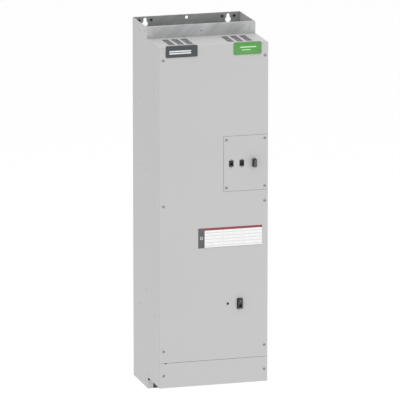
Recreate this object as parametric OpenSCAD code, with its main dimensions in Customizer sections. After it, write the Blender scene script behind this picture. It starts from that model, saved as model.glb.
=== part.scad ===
// Wall-hung power-electronics cabinet of the variable frequency drive kind.
// A tall rear air duct carries the heatsink, the choke and the fans, and hangs on two keyholes.
// A shorter front box before it holds the electronics behind screwed sheet-steel covers.
// X runs to the right, -Y to the front and +Z up. The wall is the plane Y = 0, and the origin
// lies midway between the centres of the two hanging keyholes.

/* [Cabinet] */
// Width of the cabinet over its side panels
cabinet_w = 421; // [400:1:460]
// Depth of the rear duct, from the wall to its front wall
duct_d = 206; // [200:1:240]
// Depth of the front box, from the duct to the faces of the covers
box_d = 170; // [160:1:220]
// Height of the front box
box_h = 1304; // [1290:1:1400]
// How far the duct rises above the front box
duct_rise = 45; // [40:1:60]
// How far the duct hangs below the front box
duct_drop = 44; // [40:1:60]
// Thickness of the side, top and bottom sheets
sheet_t = 2; // [1.5:0.5:2.5]
// Thickness of the back sheet, which carries the weight
back_t = 2.5; // [2:0.5:3]

/* [Wall fixings] */
// Distance between the two hanging keyholes
keyhole_pitch = 325; // [300:1:340]
// Radius of a keyhole's lower, round opening
keyhole_r = 11; // [10:0.5:12]
// Radius of a keyhole's upper slot, and of the lower fixing holes
stud_hole_r = 6; // [5:0.5:6.5]
// From the top edge of the back sheet down to the keyholes' round centres
keyhole_below_top = 28.5; // [27:0.5:32]

/* [Front covers] */
// Height of the lower cover over the cable chamber
lower_cover_h = 96; // [80:1:120]
// Gap between neighbouring covers
cover_gap = 0.8; // [0.6:0.1:1.2]
// Width of the control panel
panel_w = 172; // [165:1:180]
// Height of the control panel
panel_h = 210; // [200:1:220]
// Height of the control panel's lower edge above the front box's bottom
panel_up = 743; // [720:1:760]

/* [Cooling] */
// Number of fins on the heatsink
fin_count = 30; // [20:1:36]
// Number of blades on each fan
blade_count = 7; // [5:1:9]
// Number of capacitors in the link
capacitor_count = 4; // [4:1:4]

/* [Controls] */
// Length of the selector's bar grip
grip_l = 34; // [30:1:36]
// How far the selector's grip stands out of the panel
grip_out = 22; // [18:1:26]

/* [Hidden] */
$fn = 48;
eps = 0.01;
half_w = cabinet_w / 2;
inner_half = half_w - sheet_t;
full_d = duct_d + box_d;
full_h = duct_drop + box_h + duct_rise;
front_y = -full_d;
floor_z = duct_drop;
roof_z = duct_drop + box_h;
hook_z = full_h - keyhole_below_top;
cover_t = 2;
behind_cover = front_y + cover_t;
tab_t = 1.5;
tab_w = 22;
wall_y = -duct_d + tab_t;
divider_y = wall_y + sheet_t;
sink_face_y = divider_y + sheet_t;
edge_flange = 18;

// Cover screws: distance from the side edges, and heights above the front box's bottom
screw_in_left = 16;
screw_in_right = 12.5;
main_screw_z = [142, 699.5, 1254];
lower_screw_z = 48;
screw_hole_r = 2.6;
head_r = 4.2;
head_t = 1.8;

// Control panel
panel_x0 = half_w - panel_w;
panel_z0 = floor_z + panel_up;
panel_screw_in = 10.5;
panel_screw_up = 13.5;
panel_screw_z = [panel_up + panel_screw_up, panel_up + panel_h - panel_screw_up];
socket_x = [278.4 - half_w, 319.2 - half_w];
control_z = floor_z + 848.5;
socket_w = 16.5;
socket_h = 23;
socket_screw_pitch = 30;
selector_x = 366 - half_w;
selector_shaft_r = 4;
selector_bush_r = 11;
fit_gap = 0.05;

// Circuit breaker in the main cover
breaker_x = 312 - half_w;
breaker_z = floor_z + 309;
breaker_w = 20;
breaker_h = 39;
breaker_out = 8;
lever_r = 2.5;
lens_x = 265.5 - half_w;
lens_z = floor_z + 311;
lens_r = 4;

// Roof slots
roof_slot_w = 24;
roof_slot_l = 108;
roof_slot_pitch = 35.5;
roof_slot_in = 49;
roof_slot_y = -full_d + 37;

// Fans and their plate
fan_plate_z = full_h - 75;
fan_x = 92;
fan_y = -100;
fan_side = 176;
fan_h = 50;
barrel_r = 83;
tip_r = 79.5;
hub_r = 34;
fan_pin_r = 4;
rotor_h = 30;
rotor_z = fan_plate_z - fan_h + 11;

// Heatsink and the modules on it
sink_w = 372;
sink_h = 430;
sink_z = floor_z + 640;
sink_base_t = 12;
fin_d = 145;
fin_t = 2.2;
module_w = 62;
module_h = 106;
module_d = 30;
module_pitch = 96;
module_z = sink_z + 270;

// Capacitors, bus bars, choke
capacitor_r = 38;
capacitor_l = 105;
capacitor_z = floor_z + 470;
choke_w = 330;
choke_h = 210;
choke_d = 60;
choke_z = floor_z + 150;
choke_y = -110;
leg_w = 50;
yoke_h = 45;
coil_t = 22;

paint = "#c9cac9";
bare_steel = "#a9abad";
black_plastic = "#2b2c2e";

// Moves a shape whose heights are measured from the duct's foot into the hanging frame
module hung() {
    translate([0, 0, -hook_z])
        children();
}

// Stands a flat outline, drawn in X and Z, up as a sheet whose outer face is at y = face
module facing(face, t) {
    translate([0, face + t, 0])
        rotate([90, 0, 0])
            linear_extrude(t)
                children();
}

// Stands a flat outline, drawn in Y and Z, up as a sheet from x = at to x = at + t
module sideways(at, t) {
    translate([at, 0, 0])
        rotate([90, 0, 90])
            linear_extrude(t)
                children();
}

// Flat rectangle with round corners, centred
module rounded_rect(w, h, r) {
    square([w - 2 * r, h], center = true);
    square([w, h - 2 * r], center = true);
    for (x = [-1, 1], y = [-1, 1])
        translate([x * (w / 2 - r), y * (h / 2 - r)])
            circle(r);
}

// Cylinder along Y, from y = from to y = to
module rod_y(r, from, to) {
    translate([0, to, 0])
        rotate([90, 0, 0])
            cylinder(r = r, h = to - from);
}

// Keyhole: a round opening with a narrower slot rising from it
module keyhole_outline() {
    slot_up = keyhole_below_top - 5.5 - stud_hole_r;
    circle(keyhole_r);
    translate([-stud_hole_r, 0])
        square([2 * stud_hole_r, slot_up]);
    translate([0, slot_up])
        circle(stud_hole_r);
}

module back_sheet() {
    small_hole_r = 4;
    color(bare_steel)
        hung()
            facing(-back_t, back_t)
                difference() {
                    translate([-inner_half, 0])
                        square([2 * inner_half, full_h]);
                    for (side = [-1, 1])
                        translate([side * keyhole_pitch / 2, hook_z]) {
                            keyhole_outline();
                            for (x = [-23.6, 23.6])
                                translate([x, 13.8])
                                    circle(small_hole_r);
                        }
                    translate([0, full_h - 11.7])
                        circle(stud_hole_r);
                    for (side = [-1, 1])
                        translate([side * keyhole_pitch / 2, 18])
                            circle(stud_hole_r);
                }
}

// Stepped outline of a side panel in Y and Z, with a rounded notch where the duct leaves the box
module side_outline() {
    notch_r = 6;
    difference() {
        union() {
            translate([-duct_d, 0])
                square([duct_d, full_h]);
            translate([behind_cover, floor_z + sheet_t])
                square([box_d, box_h - 2 * sheet_t]);
        }
        translate([-duct_d, roof_z + 8])
            circle(notch_r / 2);
        translate([-duct_d, floor_z - 8])
            circle(notch_r / 2);
    }
}

// Left-hand side panel, with its cover screws at screw_in from the edge and at the heights given
module side_panel(screw_in, heights) {
    rivet_hole_r = 2;
    sideways(-half_w, sheet_t)
        difference() {
            side_outline();
            for (z = [floor_z - 17, roof_z + 26])
                translate([-178, z])
                    circle(4);
            for (p = rivet_places)
                translate(p)
                    circle(rivet_hole_r);
        }
    // Tabs bent in across the duct's front corners
    for (z = [0, roof_z + 12])
        translate([-inner_half, -duct_d, z])
            cube([tab_w - sheet_t, tab_t, z == 0 ? floor_z - 12 : duct_rise - 12]);
    // Flange bent in behind the covers, which are screwed to it
    difference() {
        translate([-inner_half, behind_cover, floor_z + sheet_t])
            cube([edge_flange, sheet_t, box_h - 2 * sheet_t]);
        for (z = heights)
            translate([-half_w + screw_in, 0, floor_z + z])
                rod_y(screw_hole_r, behind_cover - 1, behind_cover + sheet_t + 1);
    }
}

// Blind rivets of the shelves and partitions, as [y, z] from the duct's foot
rivet_places = [
    for (z = [266, 808, 1066, 1320]) [-105, floor_z + z - 2],
    for (z = [10, 340, 804, 1066]) [-195, floor_z + z],
    [-304, floor_z + 703], [-304, floor_z + 260], [-304, floor_z + 1130]
];

module left_side_panel() {
    color(paint)
        hung()
            side_panel(screw_in_left, concat(main_screw_z, [lower_screw_z]));
}

module right_side_panel() {
    color(paint)
        hung()
            mirror([1, 0, 0])
                side_panel(screw_in_right, concat(main_screw_z, [lower_screw_z], panel_screw_z));
}

// Bare steel wall across the duct's front, with its free edge folded back into the duct
module duct_wall(bottom, top, fold_z) {
    fold_d = 12;
    difference() {
        translate([-inner_half, wall_y, bottom])
            cube([2 * inner_half, sheet_t, top - bottom]);
        translate([0, 0, (bottom + top) / 2 + (fold_z > bottom ? 5 : -5)])
            rod_y(3, wall_y - 1, wall_y + sheet_t + 1);
    }
    translate([-inner_half, wall_y + sheet_t, fold_z])
        cube([2 * inner_half, fold_d, sheet_t]);
}

module upper_duct_wall() {
    color(bare_steel)
        hung()
            duct_wall(roof_z - 14, full_h, full_h - sheet_t);
}

module lower_duct_wall() {
    color(bare_steel)
        hung()
            duct_wall(0, floor_z + 14, 0);
}

module duct_divider() {
    window_in = 16;
    color(bare_steel)
        hung()
            facing(divider_y, sheet_t)
                difference() {
                    translate([-inner_half, floor_z + sheet_t])
                        square([2 * inner_half, box_h - 2 * sheet_t]);
                    translate([-sink_w / 2 + window_in, sink_z + window_in])
                        square([sink_w - 2 * window_in, sink_h - 2 * window_in]);
                }
}

// Sheet that closes one end of the front box, let in between the duct's sides at the back
module end_sheet(z) {
    translate([-half_w, behind_cover, z])
        cube([cabinet_w, box_d - cover_t, sheet_t]);
    translate([-inner_half, -duct_d - eps, z])
        cube([2 * inner_half, tab_t + eps, sheet_t]);
}

// Roof of the front box, with three air slots near each side
module roof_plate() {
    lip_h = 14;
    color(paint)
        hung() {
            difference() {
                end_sheet(roof_z - sheet_t);
                for (side = [0, 1])
                    mirror([side, 0, 0])
                        for (i = [0 : 2])
                            translate([-half_w + roof_slot_in + i * roof_slot_pitch,
                                       roof_slot_y, roof_z - sheet_t - 1])
                                cube([roof_slot_w, roof_slot_l, sheet_t + 2]);
            }
            translate([-inner_half + edge_flange + 1, behind_cover, roof_z - sheet_t - lip_h])
                cube([2 * (inner_half - edge_flange - 1), sheet_t, lip_h + eps]);
        }
}

// Bottom of the front box, cut out over the gland plate
gland_w = 300;
gland_d = 110;
gland_y = -full_d + 82;
module floor_plate() {
    window_in = 14;
    lip_h = 14;
    color(paint)
        hung() {
            difference() {
                end_sheet(floor_z);
                translate([0, gland_y, floor_z - 1])
                    linear_extrude(sheet_t + 2)
                        square([gland_w - 2 * window_in, gland_d - 2 * window_in], center = true);
            }
            translate([-inner_half + edge_flange + 1, behind_cover, floor_z + sheet_t - eps])
                cube([2 * (inner_half - edge_flange - 1), sheet_t, lip_h]);
        }
}

// Removable plate under the floor, with the round cable entries
gland_t = 3;
mains_hole_r = 20.25;
control_hole_r = 10.25;
mains_hole_x = 78;
module gland_plate() {
    color(bare_steel)
        hung()
            translate([0, gland_y, floor_z - gland_t])
                linear_extrude(gland_t)
                    difference() {
                        rounded_rect(gland_w, gland_d, 5);
                        for (x = [-mains_hole_x, mains_hole_x])
                            translate([x, 0])
                                circle(mains_hole_r);
                        circle(control_hole_r);
                        for (x = [-1, 1], y = [-1, 1])
                            translate([x * (gland_w / 2 - 7), y * (gland_d / 2 - 7)])
                                circle(2.2);
                    }
}

// Large cover of the front box, notched round the control panel
module main_cover() {
    bottom = floor_z + lower_cover_h + cover_gap;
    notch_w = 5;
    notch_h = 3;
    color(paint)
        hung()
            facing(front_y, cover_t)
                difference() {
                    translate([-half_w, bottom])
                        square([cabinet_w, roof_z - bottom]);
                    translate([panel_x0 - cover_gap, panel_z0 - cover_gap])
                        square([panel_w + cover_gap + 1, panel_h + 2 * cover_gap]);
                    for (z = main_screw_z) {
                        translate([-half_w + screw_in_left, floor_z + z])
                            circle(screw_hole_r);
                        translate([half_w - screw_in_right, floor_z + z])
                            circle(screw_hole_r);
                    }
                    for (x = [-half_w + 14, half_w - 18])
                        translate([x - notch_w / 2, roof_z - notch_h])
                            square([notch_w, notch_h + 1]);
                    translate([breaker_x, breaker_z])
                        square([breaker_w + 1, breaker_h + 1], center = true);
                    translate([lens_x, lens_z])
                        circle(lens_r);
                }
}

// Narrow cover over the cable chamber, with a thumb notch in its upper edge
module lower_cover() {
    color(paint)
        hung()
            facing(front_y, cover_t)
                difference() {
                    translate([-half_w, floor_z])
                        square([cabinet_w, lower_cover_h]);
                    translate([-half_w + screw_in_left, floor_z + lower_screw_z])
                        circle(screw_hole_r);
                    translate([half_w - screw_in_right, floor_z + lower_screw_z])
                        circle(screw_hole_r);
                    translate([-half_w + 20, floor_z + lower_cover_h - 3])
                        square([8, 4]);
                }
}

// Outline of the control panel's openings, drawn in X and Z
module panel_cutouts() {
    for (x = socket_x) {
        translate([x, control_z])
            square([socket_w + 0.6, socket_h + 0.6], center = true);
        for (z = [-1, 1])
            translate([x, control_z + z * socket_screw_pitch / 2])
                circle(1.5);
    }
    translate([selector_x, control_z])
        circle(selector_bush_r + 0.2);
    for (x = [panel_x0 + panel_screw_in, half_w - screw_in_right],
         z = [panel_screw_up, panel_h - panel_screw_up])
        translate([x, panel_z0 + z])
            circle(screw_hole_r);
}

module control_panel() {
    color(paint)
        hung()
            facing(front_y, cover_t)
                difference() {
                    translate([panel_x0, panel_z0])
                        square([panel_w, panel_h]);
                    panel_cutouts();
                }
}

// Frame behind the control panel that carries its screws and bridges the cover's notch
module panel_bracket() {
    overlap = 14;
    color(bare_steel)
        hung()
            facing(behind_cover, sheet_t)
                difference() {
                    translate([panel_x0 - overlap, panel_z0 - overlap])
                        square([panel_w + overlap - sheet_t - edge_flange - 1, panel_h + 2 * overlap]);
                    translate([panel_x0 + 21, panel_z0 + 21])
                        square([panel_w, panel_h - 42]);
                    for (z = [panel_screw_up, panel_h - panel_screw_up])
                        translate([panel_x0 + panel_screw_in, panel_z0 + z])
                            circle(screw_hole_r);
                }
}

// Badge hung over the cover's top edge: rounded plate in front, short lip over the roof
module badge(x0, w, h) {
    badge_t = 3;
    above = 4;
    lip_d = 12;
    translate([x0 + w / 2, 0, roof_z + above - h / 2])
        facing(front_y - badge_t, badge_t)
            rounded_rect(w, h, 5);
    translate([x0 + 5, front_y - eps, roof_z])
        cube([w - 10, lip_d, badge_t]);
}

module left_badge() {
    color("#4b5055")
        hung()
            badge(-half_w + 25.5, 122, 44);
}

module right_badge() {
    color("#4fa044")
        hung()
            badge(half_w - 27 - 107, 107, 47);
}

// Printed plate glued to the main cover
module rating_plate() {
    plate_t = 0.8;
    color("#e8e8e8")
        hung()
            translate([-half_w + 150 + 124.5, 0, floor_z + 569])
                facing(front_y - plate_t, plate_t)
                    rounded_rect(249, 76, 2);
}

// Pan-head screw along Y: head proud of the cover, shank through it and its flange
module cover_screw(head, reach) {
    rod_y(head, front_y - head_t, front_y);
    rod_y(screw_hole_r - 0.3, front_y - eps, front_y + reach);
}

module cover_screws() {
    color("#8f9193")
        hung() {
            for (z = concat(main_screw_z, [lower_screw_z]))
                for (x = [-half_w + screw_in_left, half_w - screw_in_right])
                    translate([x, 0, floor_z + z])
                        cover_screw(head_r, 3.5);
        }
}

module panel_screws() {
    color("#8f9193")
        hung()
            for (x = [panel_x0 + panel_screw_in, half_w - screw_in_right],
                 z = [panel_screw_up, panel_h - panel_screw_up])
                translate([x, 0, panel_z0 + z])
                    cover_screw(head_r, 3.5);
}

module side_rivets() {
    rivet_head_r = 3.4;
    proud = 0.8;
    color(paint)
        hung()
            for (side = [0, 1])
                mirror([side, 0, 0])
                    for (p = rivet_places)
                        translate([-half_w - proud, p[0], p[1]])
                            rotate([0, 90, 0]) {
                                cylinder(r = rivet_head_r, h = proud);
                                cylinder(r = 1.95, h = proud + sheet_t);
                            }
}

// Data socket: nose through the panel with an open mouth, flange behind it for two screws
mouth_w = 11.8;
mouth_h = 8.4;
mouth_d = 13;
socket_out = 1.2;
module data_socket(x) {
    flange_y = front_y + cover_t;
    translate([x, 0, control_z])
        difference() {
            union() {
                facing(front_y - socket_out, cover_t + socket_out)
                    rounded_rect(socket_w, socket_h, 1);
                facing(flange_y, 2)
                    difference() {
                        rounded_rect(socket_w, 38, 2);
                        for (z = [-1, 1])
                            translate([0, z * socket_screw_pitch / 2])
                                circle(1.4);
                    }
                facing(flange_y + 2 - eps, 16)
                    square([14, 20], center = true);
            }
            translate([-mouth_w / 2, front_y - socket_out - 1, -mouth_h / 2 - 2])
                cube([mouth_w, mouth_d + 1, mouth_h]);
        }
    // Contact tongue across the roof of the mouth
    translate([x - 4, front_y + 3, control_z + mouth_h / 2 - 3.4])
        cube([8, mouth_d - 4, 1.45]);
}

module left_data_socket() {
    color(black_plastic)
        hung()
            data_socket(socket_x[0]);
}

module right_data_socket() {
    color(black_plastic)
        hung()
            data_socket(socket_x[1]);
}

module socket_screws() {
    color("#8f9193")
        hung()
            for (x = socket_x, z = [-1, 1])
                translate([x, 0, control_z + z * socket_screw_pitch / 2]) {
                    rod_y(2.4, front_y - 1, front_y);
                    rod_y(1.3, front_y - eps, front_y + cover_t + 2);
                }
}

// Selector switch: flanged bush through the panel, contact block behind
module selector_body() {
    collar_t = 2.5;
    color(black_plastic)
        hung()
            translate([selector_x, 0, control_z])
                difference() {
                    union() {
                        rod_y(selector_bush_r + 1.5, front_y - collar_t, front_y);
                        rod_y(selector_bush_r, front_y - eps, front_y + 14);
                        facing(front_y + 14 - eps, 38)
                            rounded_rect(30, 42, 3);
                    }
                    rod_y(selector_shaft_r + fit_gap, front_y - collar_t - 1, front_y + 32);
                }
}

// Bar grip with round ends, on the shaft that turns in the bush
module selector_knob() {
    grip_w = 18;
    base_y = front_y - 2.8;
    color("#1d1e20")
        hung()
            translate([selector_x, 0, control_z])
                difference() {
                    union() {
                        facing(base_y - grip_out + 2.8, grip_out - 2.8)
                            rounded_rect(grip_w, grip_l, 6);
                        rod_y(selector_shaft_r, base_y - eps, front_y + 30);
                    }
                    // Pointer groove down the upper half of the grip's face
                    translate([-1, front_y - grip_out - 1, 2])
                        cube([2, 2, grip_l]);
                    // Finger hollows at both sides
                    for (side = [-1, 1])
                        translate([side * (grip_w / 2 + 9), front_y - grip_out - 1, 0])
                            rotate([-90, 0, 0])
                                cylinder(r = 12, h = grip_out - 8);
                }
}

// Breaker: nose through the main cover with a slot for the lever, body on the rail behind
pivot_y = front_y + 4;
lever_slot_w = 8;
lever_slot_h = 26;
module breaker_body() {
    drum_r = 7;
    color(black_plastic)
        hung()
            translate([breaker_x, 0, breaker_z])
                difference() {
                    union() {
                        facing(front_y - breaker_out, breaker_out + 16)
                            square([breaker_w, breaker_h], center = true);
                        facing(front_y + 16 - eps, 44)
                            square([breaker_w - 2, 82], center = true);
                    }
                    translate([-lever_slot_w / 2, pivot_y, 0])
                        rotate([0, 90, 0])
                            cylinder(r = drum_r + 0.5, h = lever_slot_w);
                    translate([-lever_slot_w / 2, front_y - breaker_out - 1, -lever_slot_h / 2])
                        cube([lever_slot_w, breaker_out + 5, lever_slot_h]);
                }
}

// Lever on a round drum, resting raised; it drops through its range about the drum's axis
lever_rest = 35;
module breaker_lever() {
    drum_r = 7;
    lever_l = 21;
    gap = 0.4;
    color("#3a3b3d")
        hung()
            translate([breaker_x, pivot_y, breaker_z]) {
                rotate([0, 90, 0])
                    cylinder(r = drum_r, h = lever_slot_w - 2 * gap, center = true);
                rotate([-lever_rest, 0, 0])
                    translate([-(lever_slot_w - 2 * gap) / 2, -lever_l, -lever_r])
                        cube([lever_slot_w - 2 * gap, lever_l, 2 * lever_r]);
            }
}

module indicator_lens() {
    color("#33363a")
        hung()
            translate([lens_x, 0, lens_z]) {
                rod_y(lens_r + 0.8, front_y - 1, front_y);
                rod_y(lens_r - 0.05, front_y - eps, front_y + 9);
            }
}

// Slotted sheet across the foot of the duct, where the cooling air enters
grille_z = 36;
module inlet_grille() {
    slot_pitch = 15;
    slot_l = 66;
    color(bare_steel)
        hung()
            translate([0, (-back_t + wall_y + sheet_t) / 2, grille_z])
                linear_extrude(sheet_t)
                    difference() {
                        square([2 * inner_half, -wall_y - sheet_t - back_t], center = true);
                        for (x = [-12 : 12], y = [-1, 1])
                            translate([x * slot_pitch, y * (slot_l / 2 + 8)])
                                rounded_rect(8, slot_l, 3.9);
                    }
}

module fan_plate() {
    color(bare_steel)
        hung()
            translate([0, (-back_t + sink_face_y) / 2, fan_plate_z])
                linear_extrude(sheet_t)
                    difference() {
                        square([2 * inner_half, -sink_face_y - back_t], center = true);
                        for (x = [-fan_x, fan_x])
                            translate([x, fan_y - (-back_t + sink_face_y) / 2])
                                circle(barrel_r);
                    }
}

// Fan housing: two square flanges on a round barrel, and a motor seat on four struts
module fan_frame(x) {
    flange_t = 5;
    barrel_t = 3;
    strut_w = 8;
    seat_t = 6;
    bottom = fan_plate_z - fan_h;
    translate([x, fan_y, bottom]) {
        for (z = [0, fan_h - flange_t])
            translate([0, 0, z])
                linear_extrude(flange_t)
                    difference() {
                        rounded_rect(fan_side, fan_side, 10);
                        circle(barrel_r);
                        for (i = [-1, 1], j = [-1, 1])
                            translate([i * 80, j * 80])
                                circle(2.4);
                    }
        linear_extrude(fan_h)
            difference() {
                circle(barrel_r + barrel_t);
                circle(barrel_r);
            }
        cylinder(r = hub_r, h = seat_t);
        for (a = [45 : 90 : 315])
            rotate([0, 0, a])
                translate([hub_r - 2, -strut_w / 2, 0])
                    cube([barrel_r - hub_r + 3, strut_w, 4]);
        cylinder(r = fan_pin_r, h = seat_t + rotor_h);
    }
}

module left_fan_frame() {
    color("#3b3d40")
        hung()
            fan_frame(-fan_x);
}

module right_fan_frame() {
    color("#3b3d40")
        hung()
            fan_frame(fan_x);
}

// Cambered blade: a slice of a thin tube lying along the radius, pitched about it
module fan_blade() {
    camber_r = 62;
    blade_t = 2.2;
    chord = 56;
    pitch = 38;
    intersection() {
        difference() {
            cylinder(r = tip_r, h = rotor_h - 4);
            translate([0, 0, -1])
                cylinder(r = hub_r - 1, h = rotor_h);
        }
        translate([0, 0, (rotor_h - 4) / 2])
            rotate([pitch, 0, 0])
                translate([0, 0, -camber_r])
                    rotate([0, 90, 0])
                        intersection() {
                            difference() {
                                cylinder(r = camber_r, h = tip_r + 1);
                                translate([0, 0, -1])
                                    cylinder(r = camber_r - blade_t, h = tip_r + 3);
                            }
                            translate([-camber_r - 1, -chord / 2, 0])
                                cube([camber_r, chord, tip_r + 1]);
                        }
    }
}

module fan_rotor(x) {
    cup_t = 3;
    translate([x, fan_y, rotor_z]) {
        difference() {
            union() {
                cylinder(r = hub_r, h = rotor_h - 4);
                for (i = [0 : blade_count - 1])
                    rotate([0, 0, i * 360 / blade_count])
                        fan_blade();
            }
            translate([0, 0, -1])
                difference() {
                    cylinder(r = hub_r - cup_t, h = rotor_h - 4 - cup_t);
                    cylinder(r = fan_pin_r + 4, h = rotor_h);
                }
            translate([0, 0, -2])
                cylinder(r = fan_pin_r + fit_gap, h = rotor_h + 4);
        }
    }
}

module left_fan_rotor() {
    color("#2c2d2f")
        hung()
            fan_rotor(-fan_x);
}

module right_fan_rotor() {
    color("#2c2d2f")
        hung()
            fan_rotor(fan_x);
}

// Wire finger guard: round rings on a cross of straight wires that lie on the fan plate
module fan_guard(x) {
    wire_r = 1.2;
    ring_over_cross = 1.5;
    ring_step = 13;
    ring_count = 5;
    first_ring = 24;
    translate([x, fan_y, fan_plate_z + sheet_t + wire_r]) {
        translate([0, 0, ring_over_cross])
            for (i = [0 : ring_count - 1])
                rotate_extrude()
                    translate([first_ring + i * ring_step, 0])
                        circle(wire_r);
        for (a = [45 : 90 : 315])
            rotate([0, 0, a])
                rotate([0, 90, 0])
                    translate([0, 0, first_ring - 2])
                        cylinder(r = wire_r, h = barrel_r - first_ring + 10);
    }
}

module left_fan_guard() {
    color("#b9bbbd")
        hung()
            fan_guard(-fan_x);
}

module right_fan_guard() {
    color("#b9bbbd")
        hung()
            fan_guard(fan_x);
}

// Extruded aluminium heatsink: its base closes the divider's window, its fins fill the duct
module heatsink() {
    fin_step = (sink_w - fin_t) / (fin_count - 1);
    color("#b5b8bb")
        hung()
            translate([0, 0, sink_z]) {
                translate([-sink_w / 2, sink_face_y, 0])
                    cube([sink_w, sink_base_t, sink_h]);
                for (i = [0 : fin_count - 1])
                    translate([-sink_w / 2 + i * fin_step, sink_face_y + sink_base_t - eps, 0])
                        cube([fin_t, fin_d, sink_h]);
            }
}

// Power module: baseplate, plastic case and three screw terminals on its face
module power_module(i) {
    base_t = 4;
    terminal_out = 3;
    color("#37393c")
        hung()
            translate([(i - 2) * module_pitch, 0, module_z + module_h / 2]) {
                facing(sink_face_y - base_t, base_t)
                    rounded_rect(module_w, module_h, 3);
                facing(sink_face_y - module_d, module_d - base_t + eps)
                    rounded_rect(module_w - 6, module_h - 12, 3);
                for (z = [-30, 0, 30])
                    translate([0, 0, z])
                        facing(sink_face_y - module_d - terminal_out, terminal_out + eps)
                            square([16, 20], center = true);
            }
}

module rectifier_module() {
    color("#37393c")
        hung()
            translate([0, 0, sink_z + 80]) {
                facing(sink_face_y - 5, 5)
                    rounded_rect(190, 90, 4);
                facing(sink_face_y - module_d, module_d - 5 + eps)
                    rounded_rect(180, 76, 4);
                for (x = [-60, -20, 20, 60])
                    translate([x, 0, 0])
                        facing(sink_face_y - module_d - 3, 3 + eps)
                            square([18, 18], center = true);
            }
}

// Capacitor can along Y, with a crimped lid and two terminal studs towards the bus bars
function capacitor_x(i) = (i - (capacitor_count + 1) / 2) * (2 * capacitor_r + 12);
capacitor_y = divider_y - 4;
stud_in = 14;
bar_t = 3;
bar_insulation = 3;
// Outer face of a bus bar: the negative one passes in front of the positive one
function bar_face(side) = capacitor_y - capacitor_l - 7 - (side < 0 ? bar_t + bar_insulation : 0);
module dc_capacitor(i) {
    color("#2f4f8a")
        hung()
            translate([capacitor_x(i), 0, capacitor_z])
                difference() {
                    union() {
                        rod_y(capacitor_r, capacitor_y - capacitor_l, capacitor_y);
                        for (side = [-1, 1])
                            translate([0, 0, side * stud_in])
                                rod_y(5, bar_face(side) + bar_t, capacitor_y - capacitor_l + eps);
                    }
                    difference() {
                        rod_y(capacitor_r + 1, capacitor_y - capacitor_l + 4, capacitor_y - capacitor_l + 8);
                        rod_y(capacitor_r - 1.5, capacitor_y - capacitor_l + 3, capacitor_y - capacitor_l + 9);
                    }
                }
}

// Punched shelf that clamps the capacitors at mid-length
module capacitor_bracket() {
    shelf_y = capacitor_y - 50;
    color(bare_steel)
        hung() {
            facing(shelf_y, sheet_t)
                difference() {
                    translate([-186, capacitor_z - 55])
                        square([372, 110]);
                    for (i = [1 : capacitor_count])
                        translate([capacitor_x(i), capacitor_z])
                            circle(capacitor_r + 0.3);
                }
            for (z = [capacitor_z - 55, capacitor_z + 55 - sheet_t])
                translate([-186, shelf_y + sheet_t - eps, z])
                    cube([372, divider_y - shelf_y - sheet_t, sheet_t]);
        }
}

// Copper bar across the capacitors' studs, with a riser to the power modules
module bus_bar(side) {
    bar_w = 356;
    bar_h = 20;
    riser_w = 20;
    riser_x = side * 120;
    rise = module_z - capacitor_z;
    translate([-bar_w / 2, bar_face(side), capacitor_z + side * stud_in - bar_h / 2])
        cube([bar_w, bar_t, bar_h]);
    translate([riser_x - riser_w / 2, bar_face(side), capacitor_z + side * stud_in])
        cube([riser_w, bar_t, rise]);
}

module positive_bus_bar() {
    color("#b8723f")
        hung()
            bus_bar(1);
}

module negative_bus_bar() {
    color("#b8723f")
        hung()
            bus_bar(-1);
}

// Three-legged laminated core of the line choke, standing on brackets in the duct
module choke_core() {
    window_w = (choke_w - 3 * leg_w) / 2;
    color("#5d5f62")
        hung()
            translate([0, choke_y, choke_z]) {
                difference() {
                    translate([-choke_w / 2, -choke_d / 2, 0])
                        cube([choke_w, choke_d, choke_h]);
                    for (x = [-1, 1])
                        translate([x * (leg_w + window_w) / 2 - window_w / 2, -choke_d / 2 - 1, yoke_h])
                            cube([window_w, choke_d + 2, choke_h - 2 * yoke_h]);
                }
                for (x = [-1, 1])
                    translate([x * (choke_w / 2 + 15) - 15, -choke_d / 2, 0])
                        cube([30, choke_d, 4]);
            }
}

// Copper coil wound round one leg of the core
module choke_winding(i) {
    leg_x = (i - 2) * (choke_w - leg_w) / 2;
    coil_h = choke_h - 2 * yoke_h - 6;
    color("#a8622f")
        hung()
            translate([leg_x, choke_y, choke_z + yoke_h + 3])
                linear_extrude(coil_h)
                    difference() {
                        rounded_rect(leg_w + 2 * coil_t, choke_d + 2 * coil_t, coil_t);
                        square([leg_w + 1, choke_d + 1], center = true);
                    }
}

// Printed circuit board standing parallel to the divider, with blocks for its largest parts
module circuit_board(x, z, w, h, face, parts) {
    board_t = 1.6;
    difference() {
        translate([x, face, z])
            cube([w, board_t, h]);
        for (i = [6, w - 6], j = [6, h - 6])
            translate([x + i, 0, z + j])
                rod_y(2, face - 1, face + board_t + 1);
    }
    for (p = parts)
        translate([x + p[0], face - p[4] + eps, z + p[1]])
            cube([p[2], p[4], p[3]]);
}

board_y = divider_y - 60;
boards = [[-150, 780, 300, 190], [-150, 1000, 300, 250]];
module control_board() {
    color("#1f6b45")
        hung()
            circuit_board(boards[0][0], floor_z + boards[0][1] + 40, boards[0][2], boards[0][3],
                          board_y - 30,
                          [[20, 30, 60, 12, 12], [110, 60, 40, 40, 4], [190, 40, 24, 24, 3],
                           [20, 150, 120, 14, 14], [230, 90, 50, 70, 9]]);
}

module power_supply_board() {
    color("#1f6b45")
        hung()
            circuit_board(boards[1][0], floor_z + boards[1][1] + 40, boards[1][2], boards[1][3],
                          divider_y - 22,
                          [[30, 40, 60, 60, 45], [120, 50, 30, 70, 35], [180, 40, 80, 30, 30],
                           [40, 160, 90, 40, 28], [180, 130, 70, 80, 22]]);
}

module gate_driver_board() {
    color("#1f6b45")
        hung()
            circuit_board(-140, module_z - 6, 280, 60, sink_face_y - module_d - 12,
                          [[20, 20, 40, 20, 8], [116, 20, 40, 20, 8], [212, 20, 40, 20, 8]]);
}

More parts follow.
